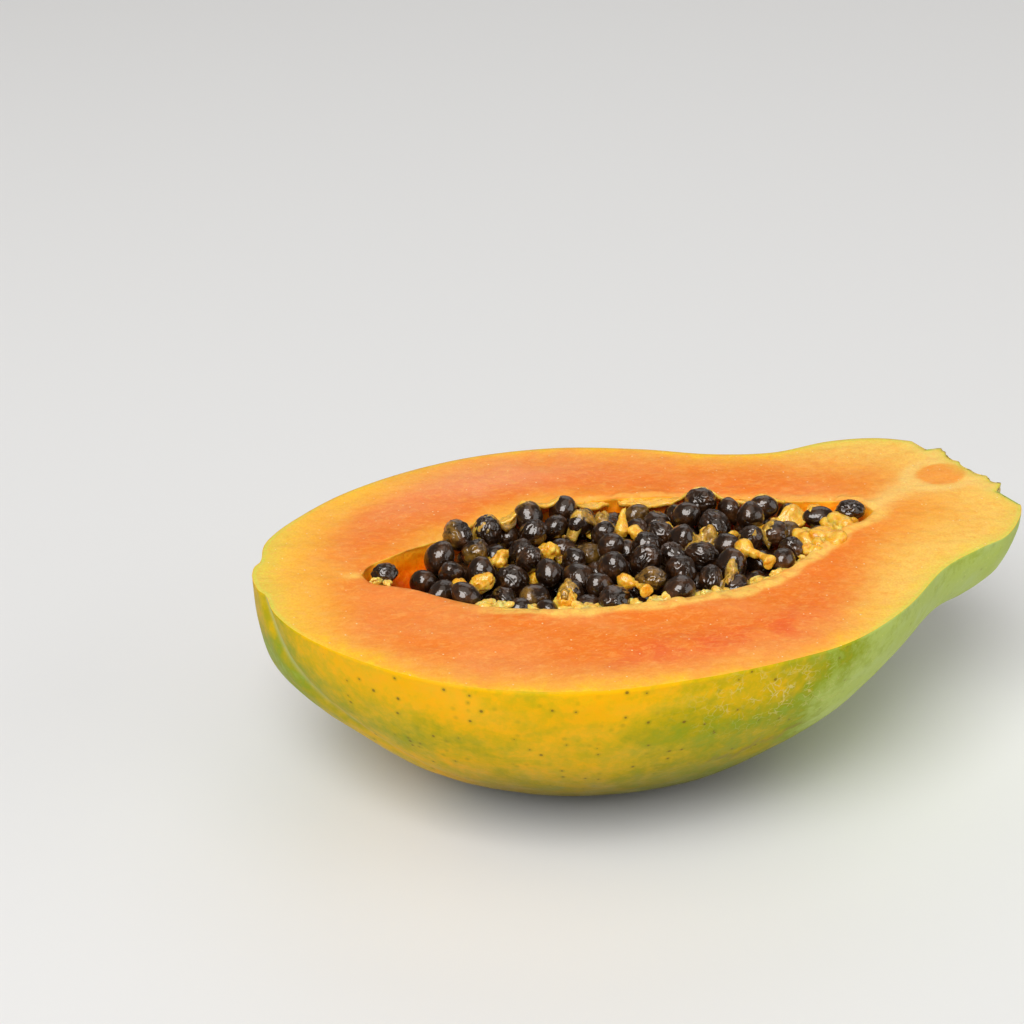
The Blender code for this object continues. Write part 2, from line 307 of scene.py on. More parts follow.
# -------- materials
def skin_material():
    s = Surface("skin")
    mottle = s.between(s.noise(11, 4, 0.6, 0.6, (1.6, 1, 1)), 0.28, 0.72, -0.13, 0.13)
    fine = s.between(s.noise(2.2, 4, 0.65), 0.3, 0.7, -0.08, 0.08)
    green = s.math("ADD", s.math("ADD", s.attribute("green"), mottle), fine)
    colour = s.ramp(green, [
        (0.0, srgb(250, 174, 2)), (0.22, srgb(238, 178, 6)), (0.42, srgb(206, 172, 8)),
        (0.58, srgb(174, 160, 6)), (0.74, srgb(142, 156, 22)), (1.0, srgb(176, 192, 92))])
    # darker olive towards the underside: painted shade
    colour = s.mix(s.attribute("underside_shade"), colour, srgb(78, 72, 0))
    # pale pores, then brown lenticels with a darker halo
    which = s.cells(2.2, output="Color")
    spot_size = s.between(s.put("ShaderNodeSeparateColor", {0: which}).outputs[0], 0.30, 1.0, 0.0, 0.15)
    distance = s.cells(2.2)
    halo = s.math("MULTIPLY", s.between(distance, 0.08, 0.40, 0.38, 0.0), s.between(spot_size, 0.02, 0.09))
    colour = s.mix(s.math("MULTIPLY", halo, s.attribute("specks")), colour, srgb(120, 124, 16))
    spot = s.math("LESS_THAN", distance, spot_size)
    spot = s.math("MULTIPLY", spot, s.attribute("specks"))
    colour = s.mix(s.math("MULTIPLY", spot, 0.80), colour, srgb(122, 92, 26))
    pore = s.between(s.cells(1.5), 0.06, 0.16, 0.35, 0.0)
    colour = s.mix(s.math("MULTIPLY", pore, s.attribute("bloom_and_sheen")), colour, srgb(226, 214, 120))
    # a net of fine pale scratches near the cut edge, and a long healed scar below it
    wander = s.put("ShaderNodeTexNoise", {"Vector": s.place, "Scale": 0.35, "Detail": 3.0}).outputs["Color"]
    shifted = s.put("ShaderNodeVectorMath", {0: wander, 1: (3.2,) * 3, 2: s.place},
                    operation="MULTIPLY_ADD").outputs[0]
    net = s.between(s.cells(1.7, "DISTANCE_TO_EDGE", vector=shifted), 0.02, 0.075, 1.0, 0.0)
    broken = s.between(s.noise(2.5, 2), 0.40, 0.60)
    net = s.math("MULTIPLY", s.math("MULTIPLY", net, broken), s.attribute("scratches"))
    colour = s.mix(s.math("MULTIPLY", net, 0.72), colour, srgb(222, 206, 128))
    colour = s.mix(s.math("MULTIPLY", s.attribute("scar"), 0.85), colour, srgb(140, 122, 62))
    colour = s.mix(s.math("MULTIPLY", s.attribute("crease"), 0.75), colour, srgb(190, 200, 140))
    # pale grey-green streaks at the stem end: painted sheen, partly the skin's own pale bloom
    bloom_and_sheen = s.between(s.noise(7, 4, 0.6, 0, (3, 1, 1)), 0.40, 0.75, 0.0, 0.42)
    colour = s.mix(s.math("MULTIPLY", bloom_and_sheen, s.attribute("bloom_and_sheen")), colour, srgb(184, 200, 140))
    s.drive("Base Color", colour)
    s.rough(5, 0.40, 0.54)
    height = s.math("ADD", s.noise(0.9, 3), s.math("MULTIPLY", s.noise(5, 2), 1.6))
    height = s.math("SUBTRACT", height, s.math("MULTIPLY", spot, 0.6))
    height = s.math("ADD", height, s.math("MULTIPLY", net, 0.8))
    s.drive("Normal", s.bump(height, 0.09))
    s.set(subsurface_weight=0.08, subsurface_radius=(1.0, 0.5, 0.15), subsurface_scale=1.2 * MM,
          specular_ior_level=0.06, coat_weight=0.02, coat_roughness=0.16)
    return s.material


def flesh_material():
    s = Surface("flesh")
    wave = s.between(s.noise(6, 4, 0.6, 0.6), 0.25, 0.75, -0.10, 0.10)
    inward = s.math("ADD", s.attribute("inward"), wave)
    colour = s.ramp(inward, [
        (0.0, srgb(255, 208, 26)), (0.08, srgb(253, 190, 40)), (0.22, srgb(249, 172, 56)),
        (0.40, srgb(245, 149, 44)), (0.62, srgb(242, 132, 30)), (1.0, srgb(240, 123, 22))])
    colour = s.mix(s.between(s.noise(20, 3, 0.5, 0.5), 0.40, 0.64, 0.0, 0.55), colour, srgb(244, 148, 72))
    red = s.math("MULTIPLY", s.attribute("red"), s.between(s.noise(9, 4, 0.6, 0.8), 0.30, 0.62))
    colour = s.mix(red, colour, srgb(236, 96, 28))
    colour = s.mix(s.attribute("pink"), colour, srgb(246, 158, 108))
    colour = s.mix(s.attribute("yellow"), colour, srgb(253, 196, 62))
    uneven = s.between(s.noise(2.2, 4, 0.6, 0.5), 0.30, 0.60, 0.45, 1.0)
    colour = s.mix(s.math("MULTIPLY", s.attribute("cream"), uneven), colour, srgb(255, 212, 100))
    colour = s.mix(s.attribute("vein"), colour, srgb(254, 210, 112))
    colour = s.mix(s.attribute("core"), colour, srgb(248, 162, 58))
    colour = s.mix(s.attribute("peel"), colour, srgb(216, 216, 84))
    # fibres, then tiny pale specks that are painted wet glints
    fibre = s.noise(1.3, 5, 0.65, 1.2, (1.8, 1, 1))
    colour = s.mix(s.between(fibre, 0.45, 0.70, 0.0, 0.40), colour, srgb(253, 188, 96))
    colour = s.mix(s.between(fibre, 0.28, 0.48, 0.24, 0.0), colour, srgb(232, 104, 24))
    grain = s.noise(0.45, 3, 0.6)
    colour = s.mix(s.between(grain, 0.35, 0.65, 0.20, 0.0), colour, srgb(226, 104, 22))
    glint_distance = s.cells(1.3)
    glint_pick = s.put("ShaderNodeSeparateColor", {0: s.cells(1.3, output="Color")}).outputs[1]
    painted_glint = s.between(glint_distance, 0.08, 0.18, 1.0, 0.0)
    painted_glint = s.math("MULTIPLY", painted_glint, s.between(glint_pick, 0.60, 1.0))
    colour = s.mix(s.math("MULTIPLY", painted_glint, 0.85), colour, srgb(255, 232, 180))
    s.drive("Base Color", colour)
    s.rough(1.1, 0.38, 0.60)
    height = s.math("ADD", s.math("MULTIPLY", fibre, 0.8), s.math("MULTIPLY", s.noise(5, 2, 0.5, 0.8), 3.0))
    height = s.math("ADD", height, s.math("MULTIPLY", painted_glint, 0.9))
    s.drive("Normal", s.bump(height, 0.08))
    s.set(subsurface_weight=0.22, subsurface_radius=(1.0, 0.42, 0.14), subsurface_scale=2.4 * MM,
          specular_ior_level=0.22, coat_weight=0.04, coat_roughness=0.2)
    return s.material


def wall_material():
    s = Surface("cavity_wall")
    # redder and darker down the wall: partly the wall's own deeper colour, partly painted shade of the hollow
    colour = s.ramp(s.attribute("depth"), [
        (0.0, srgb(255, 194, 66)), (0.05, srgb(255, 166, 16)), (0.32, srgb(255, 116, 0)),
        (0.8, srgb(222, 42, 0))])
    colour = s.mix(s.attribute("cream"), colour, srgb(255, 206, 82))
    colour = s.mix(s.between(s.noise(2.5, 4, 0.6, 0.8), 0.45, 0.70, 0.0, 0.35), colour, srgb(255, 158, 20))
    s.drive("Base Color", colour)
    s.rough(1.5, 0.22, 0.42)
    s.drive("Normal", s.bump(s.noise(1.4, 4, 0.6, 0.5), 0.25))
    s.set(subsurface_weight=0.35, subsurface_radius=(1.0, 0.40, 0.12), subsurface_scale=3.0 * MM,
          specular_ior_level=0.2, coat_weight=0.08, coat_roughness=0.12)
    return s.material


def scar_material():
    s = Surface("stem_scar")
    colour = s.ramp(s.noise(1.6, 4, 0.65, 0.5), [
        (0.25, srgb(158, 114, 62)), (0.45, srgb(200, 172, 100)), (0.62, srgb(224, 212, 132)),
        (0.8, srgb(196, 204, 108))])
    s.drive("Base Color", colour)
    s.rough(1.0, 0.55, 0.8)
    s.drive("Normal", s.bump(s.noise(0.8, 4, 0.7), 0.35))
    s.set(specular_ior_level=0.3)
    return s.material


def seed_material():
    s = Surface("seed_coat")
    tone = s.noise(3.0, 3, 0.6)
    colour = s.ramp(tone, [(0.3, srgb(14, 6, 2)), (0.5, srgb(38, 20, 8)), (0.72, srgb(84, 50, 24))])
    wrinkle = s.cells(1.0, "DISTANCE_TO_EDGE")
    # darker along the grooves of the wrinkle net: painted shade in the grooves
    colour = s.mix(s.between(wrinkle, 0.0, 0.16, 0.30, 0.0), colour, srgb(16, 10, 7))
    amber = s.math("MULTIPLY", s.attribute("amber"), s.between(s.noise(1.2, 4, 0.7), 0.30, 0.66))
    colour = s.mix(s.math("MULTIPLY", amber, 0.8), colour, srgb(158, 116, 40))
    s.drive("Base Color", colour)
    s.drive("Roughness", s.between(s.noise(1.2, 3), 0.35, 0.75, 0.30, 0.45))
    height = s.math("ADD", s.between(wrinkle, 0.0, 0.3), s.math("MULTIPLY", s.noise(1.5, 2), 3.0))
    bumped = s.bump(height, 0.02)
    s.drive("Normal", bumped)
    s.drive("Coat Normal", bumped)
    s.set(subsurface_weight=0.05, subsurface_radius=(1.0, 0.6, 0.4), subsurface_scale=0.6 * MM,
          specular_ior_level=0.25, specular_tint=(1.0, 0.66, 0.40, 1.0),
          coat_weight=1.0, coat_roughness=0.02, coat_ior=1.65,
          sheen_weight=0.07, sheen_roughness=0.25, sheen_tint=(0.90, 0.50, 0.28, 1.0))
    return s.material


def pulp_material(name, dark, middle, light):
    s = Surface(name)
    tone = s.math("ADD", s.math("MULTIPLY", s.noise(1.6, 4, 0.65, 0.6), 0.8),
                  s.math("MULTIPLY", s.noise(0.35, 3, 0.6), 0.2))
    colour = s.ramp(tone, [(0.30, dark), (0.48, middle), (0.68, light)])
    colour = s.mix(s.attribute("thin"), colour, srgb(70, 48, 20))
    s.drive("Base Color", colour)
    s.rough(1.0, 0.24, 0.48)
    s.drive("Normal", s.bump(s.noise(0.7, 4, 0.65), 0.12))
    s.set(subsurface_weight=0.50, subsurface_radius=(1.0, 0.5, 0.12), subsurface_scale=1.4 * MM,
          specular_ior_level=0.45, coat_weight=0.55, coat_roughness=0.10)
    return s.material


# -------- the fruit
def crease_amount(points):
    """How far a crease between two lobes draws the skin in, in millimetres."""
    dy = points[..., 1] - LOBE_POLE_Y
    dz = points[..., 2] - LOBE_POLE_Z
    step = 2 * math.pi / LOBES
    turn = (np.arctan2(dz, dy) + math.pi / 2) % step - step / 2
    groove = np.exp(-(turn * np.hypot(dy, dz) / CREASE_WIDTH) ** 2)
    return CREASE_DEPTH * groove * np.exp(-np.maximum(points[..., 0], 0) / CREASE_FADE)


def skin_points(along, around):
    """Points of the skin, with its creases, and their outward directions across the fruit."""
    ring = smooth_through(SKIN_PROFILE, along * (len(SKIN_PROFILE) - 1))
    x, middle, half_width, depth = (ring[:, k, None] for k in range(4))
    out = np.stack([np.zeros_like(x * around), half_width * np.cos(around), depth * np.sin(around)], -1)
    points = np.stack([x + 0 * around, middle + 0 * around, 0 * x * around], -1) + out
    length = np.linalg.norm(out, axis=-1, keepdims=True)
    outward = out / np.maximum(length, 1e-6)
    drawn_in = crease_amount(points)[..., None]
    points = points - outward * drawn_in
    points[..., 0] += CREASE_PULL * drawn_in[..., 0]
    return points, outward


def wall_points(along, around):
    ring = smooth_through(CAVITY_PROFILE, along * (len(CAVITY_PROFILE) - 1))
    x, middle, half_width, depth = (ring[:, k, None] for k in range(4))
    return np.stack([x + 0 * around, middle + half_width * np.cos(around), depth * np.sin(around)], -1)


def hollow_at(x):
    """The hollow's middle, half width and depth at each x."""
    return [np.interp(x, CAVITY_PROFILE[:, 0], CAVITY_PROFILE[:, k]) for k in (1, 2, 3)]


def distance_to_line(points, line):
    """Each point's distance to a polyline, in the plane of the cut face."""
    best = np.full(points.shape[:-1], 1e9)
    flat = points[..., :2]
    for start, end in zip(line[:-1, :2], line[1:, :2]):
        run = end - start
        span = max(float(run @ run), 1e-9)
        share = np.clip(((flat - start) @ run) / span, 0, 1)
        best = np.minimum(best, np.linalg.norm(flat - start - share[..., None] * run, axis=-1))
    return best


def fruit_grid():
    """The whole surface as rows along the fruit and one closed ring of columns around it."""
    along = np.linspace(0, 1, ROWS + 1)
    skin, outward = skin_points(along, np.linspace(0, -math.pi, SKIN_COLUMNS + 1))
    wall = wall_points(along, np.linspace(-math.pi, 0, WALL_COLUMNS + 1))
    share = np.linspace(0, 1, CUT_COLUMNS + 1)[1:-1]
    share = (0.35 * share + 0.65 * (0.5 - 0.5 * np.cos(math.pi * share)))[None, :, None]
    near_cut = skin[:, -1:] * (1 - share) + wall[:, :1] * share
    far_cut = wall[:, -1:] * (1 - share) + skin[:, :1] * share
    return skin, near_cut, wall, far_cut, outward


def scar_place(points):
    """How far points are past the stalk's cut, and how far across it towards +y."""
    heading = np.array([math.cos(SCAR_HEADING), math.sin(SCAR_HEADING)])
    flat = points[..., :2] - SCAR_MIDDLE
    return flat @ heading, flat @ np.array([-heading[1], heading[0]])


def trim_scar(points):
    """Bring what lies past the stalk's torn end back onto it, and say where that is scar."""
    past, across = scar_place(points)
    ring = np.hypot((across - COLLAR_MIDDLE) / COLLAR_HALF_WIDTH, points[..., 2] / COLLAR_DEPTH)
    collar = 1 - step_between(0.96, 1.06, ring)
    spot = np.stack([across, points[..., 2], 0 * across], -1)
    teeth = np.maximum(soft_noise(spot, 2.3, 9) - 0.1, 0) * 3.0 + 0.50 * rough_noise(spot, 1.5, 5, 2)
    listed = sum(tall * bell(across, place, wide) for place, wide, tall in TEETH)
    teeth = teeth + listed * bell(points[..., 2], 0, TEETH_FADE)
    edge = -0.5 + collar * (COLLAR_STANDS + teeth * (0.35 + 0.65 * step_between(0.5, 0.9, ring)))
    trimmed = np.maximum(past - edge, 0)
    heading = np.array([math.cos(SCAR_HEADING), math.sin(SCAR_HEADING)])
    points[..., :2] -= trimmed[..., None] * heading
    return np.where(collar > 0.5, trimmed, 0)


def skin_marks(points):
    """What drives the skin's colours: greenness, painted shade low on the skin, specks, pale bloom with
    painted sheen, scratches, scar and creases.
    """
    x, y, z = (points[..., k] for k in range(3))
    low = np.clip(-z / 46.0, 0, 1)
    far = step_between(-10, 25, y)
    green = 0.18 + 0.30 * step_between(2, 16, -z) + 0.12 * step_between(14, 40, -z)
    green += 0.22 * step_between(60, 92, x) + 0.58 * step_between(98, 124, x)
    green += 0.38 * (1 - step_between(3, 26, x)) * (0.55 + 0.45 * low)
    green += 0.14 * far * step_between(20, 60, x)
    green -= 0.24 * bell(x, 33, 13) * step_between(13, 26, -z)
    green += 0.13 * rough_noise(points, (26, 16, 12), 3, 2)
    # darker olive low on the skin: painted shade of the underside
    underside_shade = step_between(15, 42, -z) * step_between(22, 50, x) * (1 - 0.85 * step_between(96, 120, x))
    specks = step_between(12, 22, x) * (1 - 0.7 * step_between(95, 125, x))
    near = 1 - step_between(-16, -4, y)
    scratches = near * bell(x, 99, 13) * bell(z, -8, 6.5)
    # the pale bloom at the stem end, which also carries a painted sheen
    bloom_and_sheen = 0.12 + 0.88 * step_between(100, 125, x)
    line_z = -22 + 0.28 * (x - 96) + 0.9 * np.sin(x * 0.8) + 0.5 * np.sin(x * 2.1)
    scar = near * bell(z, line_z, 0.45) * step_between(84, 88, x) * (1 - step_between(104, 108, x))
    crease = np.clip(crease_amount(points) / CREASE_DEPTH, 0, 1) ** 2
    crease = step_between(0.25, 0.8, crease * np.exp(np.maximum(x, 0) / CREASE_FADE))
    crease = crease * (1 - step_between(10, 26, x))
    return dict(green=green, underside_shade=underside_shade, specks=specks, bloom_and_sheen=bloom_and_sheen, scratches=scratches, scar=scar,
                crease=crease)


def vein_marks(points):
    """The pale band from the cavity's tip to the stalk, and the orange core that it parts around."""
    past, across = scar_place(points)
    run = CORE_MIDDLE - CAVITY_TIP
    along = ((points[..., :2] - CAVITY_TIP) @ run) / (run @ run)
    side = ((points[..., :2] - CAVITY_TIP) @ np.array([-run[1], run[0]])) / np.linalg.norm(run)
    band = bell(side, 0.8 * np.sin(along * 3), 2.4 + 2.0 * along) * step_between(-0.12, 0.1, along)
    band = band * (1 - step_between(0.9, 1.2, along))
    core_past, core_across = scar_place(CORE_MIDDLE)
    ring = np.hypot((past - core_past) / CORE_HALF_LENGTH, (across - core_across) / CORE_HALF_WIDTH)
    core = 1 - step_between(0.84, 0.98, ring)
    around = bell(ring, 1.28, 0.26)
    margin = step_between(-4.2, -1.0, past) * step_between(-11, -8, across)
    return np.clip(0.9 * band + 0.9 * around + margin, 0, 1), core


def cut_marks(points, from_skin, from_wall):
    """What drives the cut face's colours."""
    x, y = points[..., 0], points[..., 1]
    near = 1 - step_between(-4, 8, y - 0.3 * np.maximum(x - 100, 0))
    reach = 15 + 17 * step_between(100, 138, x) * near + 9 * (1 - step_between(4, 34, x))
    inward = from_skin / reach
    red = near * bell(from_skin, 11.0, 4.5) * step_between(52, 78, x) * (1 - step_between(108, 124, x))
    red += 0.30 * (1 - near) * bell(from_skin, 15, 4) * bell(x, 60, 30)
    wobble = rough_noise(points, 6, 21, 2)
    edge = 2.2 + 1.4 * wobble
    cream = 0.9 * near * step_between(38, 52, x) * (1 - step_between(edge, edge + 1.8, from_wall))
    far_reach = 2.2 + 2.0 * step_between(96, 112, x)
    far_cream = (1 - near) * (1 - step_between(0.3 * far_reach, far_reach, from_wall))
    cream = cream + 0.5 * far_cream * step_between(27, 40, x)
    cream = cream + 0.75 * bell(x, 20.5, 2.5) * bell(y, -2.6, 1.4)
    cream = cream + 0.85 * step_between(106, 132, x) * (1 - step_between(4, 20, from_skin))
    yellow = 0.85 * (1 - step_between(4, 25, x + 1.5 * wobble))
    yellow = yellow + 0.75 * (1 - near) * bell(x, 50, 19) * (1 - step_between(2.5, 8.5, from_wall + wobble))
    yellow = yellow + 0.55 * (1 - near) * bell(x, 27, 14) * (1 - step_between(3, 12, from_skin))
    yellow = yellow + 0.5 * step_between(116, 146, x)
    vein, core = vein_marks(points)
    greenish = step_between(104, 124, x) + (1 - step_between(6, 18, x)) + 0.45 * (1 - near)
    peel = (1 - step_between(0.4, 1.2, from_skin)) * np.clip(greenish, 0, 1) * 0.5
    peel = peel + 0.62 * (1 - step_between(1.5, 8, from_skin)) * (1 - step_between(1, 13, x))
    peel = peel + 0.42 * (1 - step_between(0.5, 5, from_skin)) * step_between(108, 128, x)
    pink = 0.75 * (1 - near) * bell(from_skin, 11 + 2 * wobble, 7) * bell(x, 48, 24)
    pink = pink + 0.15 * near * bell(from_skin, 7, 4) * bell(x, 60, 45)
    return dict(pink=pink, inward=inward, red=np.clip(red, 0, 1), cream=np.clip(cream, 0, 1), vein=vein,
                core=core, peel=np.clip(peel, 0, 1), yellow=np.clip(yellow, 0, 1))


def shape_cut(points, from_skin, from_wall):
    """The cut face is nearly flat: slow waves, a softened skin edge and a lip that curls down."""
    x = points[..., 0]
    lip = 1.5 + 0.6 * soft_noise(points, 5, 31)
    relief = 0.22 * rough_noise(points, (16, 9, 9), 41, 2)
    relief += 0.07 * rough_noise(points, (3.0, 1.8, 2), 43, 2)
    relief *= step_between(0, 3, from_skin)
    drop = 0.30 * np.clip(1 - from_skin / 0.5, 0, 1) ** 2
    drop += 0.30 * np.clip(1 - from_wall / lip, 0, 1) ** 2
    lumps = 0.42 * rough_noise(points, 2.6, 47, 2)
    lumps = lumps * (1 - step_between(0.8, 3.5, from_wall)) * step_between(40, 50, x)
    points[..., 2] = relief - drop + lumps
    return points


def shape_skin(body, outward, marks):
    """Slow dents and a fine texture, faded out at the cut edge and at the flat spot."""
    fade = step_between(0, 3, -body[..., 2]) * step_between(0.2, 3.0, body[..., 2] + CUT_HEIGHT)
    dents = 0.35 * rough_noise(body, (20, 14, 12), 51, 2) + 0.05 * rough_noise(body, 2.4, 53, 2)
    dents = dents + 0.30 * marks["scar"] - 0.35 * marks["crease"]
    body += outward * (dents * fade)[..., None]
    body[..., 2] = np.maximum(body[..., 2], -CUT_HEIGHT)


def shape_hollow(hollow):
    """Folds on the cavity wall and a lip that sinks; returns how deep each point lies, 0 to 1, and
    which points are on the near side."""
    depth = np.clip(-hollow[..., 2] / DEEP, 0, 1)
    middle = hollow_at(hollow[..., 0])[0]
    inside = hollow - np.stack([hollow[..., 0], middle, 0 * depth], -1)
    inward = -inside / np.maximum(np.linalg.norm(inside, axis=-1, keepdims=True), 1.0)
    folds = 0.45 * rough_noise(hollow, (4.5, 3, 3), 61, 3) - 0.25
    hollow += inward * (np.minimum(folds, 0.15) * step_between(0, 1.0, depth * DEEP + 0.3))[..., None]
    hollow[..., 2] -= LIP_DROP * (1 - step_between(0, 3.0, -hollow[..., 2]))
    return depth, hollow[..., 1] < hollow_at(hollow[..., 0])[0]


def fruit_faces(torn, columns, first_near, first_wall, first_far):
    """The quads between neighbouring rows and columns, and each one's material."""
    faces = []
    face_material = []
    for row in range(ROWS):
        for column in range(columns):
            beside = (column + 1) % columns
            faces.append((row * columns + column, row * columns + beside,
                          (row + 1) * columns + beside, (row + 1) * columns + column))
            if column < first_near - 1:
                face_material.append(SCAR if torn[row, column] > LEAST_TORN else SKIN)
            elif first_wall <= column < first_far - 1:
                face_material.append(WALL)
            else:
                face_material.append(FLESH)
    return faces, face_material


def make_fruit(materials):
    """Skin, cut face and cavity wall as one closed mesh, with the marks that drive its colours."""
    skin_part, near_cut, wall_part, far_cut, outward = fruit_grid()
    edge_line = np.vstack([skin_part[:, 0], skin_part[::-1, -1]])
    hollow_line = np.vstack([wall_part[:, -1], wall_part[::-1, 0]])[::3]
    ring = np.concatenate([skin_part, near_cut, wall_part, far_cut], axis=1)
    first_near = SKIN_COLUMNS + 1
    first_wall = first_near + CUT_COLUMNS - 1
    first_far = first_wall + WALL_COLUMNS + 1
    is_cut = np.zeros(ring.shape[:2], bool)
    is_cut[:, first_near:first_wall] = True
    is_cut[:, first_far:] = True

    torn = trim_scar(ring)
    from_skin = np.zeros(ring.shape[:2])
    from_wall = np.zeros(ring.shape[:2])
    trimmed = edge_line.copy()
    trim_scar(trimmed)
    from_skin[is_cut] = distance_to_line(ring[is_cut], trimmed[::2])
    from_wall[is_cut] = distance_to_line(ring[is_cut], hollow_line)

    body = ring[:, :first_near]
    marks = skin_marks(body)
    shape_skin(body, outward, marks)
    ring[is_cut] = shape_cut(ring[is_cut], from_skin[is_cut], from_wall[is_cut])
    hollow = ring[:, first_wall:first_far]
    depth, on_near_side = shape_hollow(hollow)

    attributes = {key: np.zeros(ring.shape[:2]) for key in
                  ("inward", "red", "cream", "vein", "core", "peel", "yellow", "pink", "green", "underside_shade",
                   "specks", "bloom_and_sheen", "scratches", "scar", "crease", "depth")}
    for key, values in cut_marks(ring[is_cut], from_skin[is_cut], from_wall[is_cut]).items():
        attributes[key][is_cut] = values
    for key, values in marks.items():
        attributes[key][:, :first_near] = values
    attributes["depth"][:, first_wall:first_far] = depth
    lip_cream = np.where(on_near_side, step_between(38, 52, hollow[..., 0]), 0.15)
    attributes["cream"][:, first_wall:first_far] = 0.9 * (1 - step_between(0.02, 0.22, depth)) * lip_cream

    faces, face_material = fruit_faces(torn, ring.shape[1], first_near, first_wall, first_far)
    flat = {key: values.reshape(-1) for key, values in attributes.items()}
    fruit = mesh_object("fruit_flesh_and_skin", ring.reshape(-1, 3), faces, materials, face_material, flat)
    bm = bmesh.new()
    bm.from_mesh(fruit.data)
    bmesh.ops.remove_doubles(bm, verts=bm.verts, dist=0.002 * MM)
    bmesh.ops.recalc_face_normals(bm, faces=bm.faces)
    bm.to_mesh(fruit.data)
    bm.free()
    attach(fruit, "root")
    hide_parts("fruit_half")


# -------- seeds and ovules
def read_lump(node):
    """A CAD lump's middle, its three axes as columns, longest first, and its half lengths, in mm."""
    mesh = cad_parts[node].data
    flat = np.empty(3 * len(mesh.vertices), np.float32)
    mesh.vertices.foreach_get("co", flat)
    points = to_fruit(flat.reshape(-1, 3).astype(float))
    middle = (points.max(0) + points.min(0)) / 2
    spread = np.linalg.svd(points - points.mean(0), full_matrices=False)[2].T
    if np.linalg.det(spread) < 0:
        spread[:, 2] *= -1
    local = (points - middle) @ spread
    middle = middle + spread @ ((local.max(0) + local.min(0)) / 2)
    return middle, spread, (local.max(0) - local.min(0)) / 2


def seed_surface(points, half, wrinkled, seed):
    """Seed-shaped points: an uneven egg, smooth or with shrivelled ridges."""
    egg = points.copy()
    egg[:, 1:] *= 1.0 - 0.14 * np.clip(-points[:, :1], 0, 1) ** 1.5
    shaped = egg * half
    place = shaped + seed * 17.3
    shift = 0.24 * soft_noise(place, 2.4, seed) + 0.04 * soft_noise(place, 0.9, seed + 1)
    if wrinkled:
        ridges = np.abs(rough_noise(place, (1.9, 1.0, 1.0), seed, 2))
        shift = shift + 0.50 * (0.26 - np.minimum(ridges, 0.5))
    return shaped + points * shift[:, None]


def place_surface(shaped, middle, axes):
    return shaped @ axes.T + middle


def random_turn(rng, tilt=math.pi):
    """Axes turned any way about the vertical, and tipped by up to tilt."""
    turn = Matrix.Rotation(rng.uniform(0, 2 * math.pi), 3, "Z")
    return np.array(turn @ Matrix.Rotation(rng.uniform(-tilt, tilt), 3, "X"))


def amber_amount(placed, middle, radius, number, rng):
    """How much amber pulp clings to each point of a seed: a ragged patch on one side, or none."""
    hollow_middle, half_width, _ = hollow_at(middle[0])
    from_far_wall = hollow_middle + half_width - middle[1]
    chance = AMBER_AT_FAR_WALL if from_far_wall < FAR_WALL_REACH else AMBER_ELSEWHERE
    chance *= AMBER_FROM < middle[0] < AMBER_TO
    side = Vector([rng.uniform(-1, 1), rng.uniform(-1, 1), rng.uniform(-0.4, 0.8)]).normalized()
    facing = (placed - middle) @ np.array(side) / radius
    ragged = facing + 0.35 * rough_noise(placed, 1.6, number, 2)
    return (0.9 if rng.random() < chance else 0.0) * step_between(0.25, 0.75, ragged)


def make_top_seeds(material):
    """A finer seed in place of each solid one; returns their middles and radii."""
    fine = ball(4)
    finer = ball(5)
    lumps = []
    for number, node in enumerate(sorted(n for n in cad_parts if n.startswith("seed_"))):
        rng = random.Random(number * 7 + 3)
        middle, axes, half = read_lump(node)
        wrinkled = rng.random() < WRINKLED_SHARE
        points, faces = finer if wrinkled else fine
        if middle[0] > STEM_SEEDS_FROM:
            half = half * STEM_SEED_SHAPE
            middle = middle - (0, 0, STEM_SEED_DROP)
        shaped = seed_surface(points, half * COAT_GROWTH, wrinkled, number + 1)
        placed = place_surface(shaped, middle, axes)
        amber = amber_amount(placed, middle, half.mean(), number, rng)
        placed = placed + (placed - middle) * (AMBER_BULGE * amber)[:, None]
        seed = mesh_object(f"{node}_coat", placed, faces, [material], attributes={"amber": amber})
        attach(seed, "root")
        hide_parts(node)
        lumps.append((middle, half.mean() * 1.05))
    return lumps


def free_places(taken, low, high, room, spacing, rng, near_wall=None):
    """Places on a shaken grid where a ball of radius room is inside the cavity and clear of taken.

    With near_wall, only places less than that far from touching the wall."""
    xs = np.arange(24, 128, spacing)
    ys = np.arange(-20, 26, spacing)
    zs = np.arange(low, high, spacing)
    grid = np.stack(np.meshgrid(xs, ys, zs, indexing="ij"), -1).reshape(-1, 3)
    grid += np.array([[rng.uniform(-0.4, 0.4) for _ in range(3)] for _ in range(len(grid))]) * spacing
    middle, half_width, depth = hollow_at(grid[:, 0])
    across = (grid[:, 1] - middle) / np.maximum(half_width - room, 0.01)
    down = grid[:, 2] / np.maximum(depth - room, 0.01)
    inside = (half_width > room) & (depth > room) & (across ** 2 + np.minimum(down, 0) ** 2 < 1)
    if near_wall:
        outer = ((grid[:, 1] - middle) / np.maximum(half_width - room - near_wall, 0.01)) ** 2
        outer = outer + np.minimum(grid[:, 2] / np.maximum(depth - room - near_wall, 0.01), 0) ** 2
        inside &= outer > 1
    grid = grid[inside]
    for centre, radius in taken:
        grid = grid[np.linalg.norm(grid - centre, axis=1) > radius + room]
    return grid


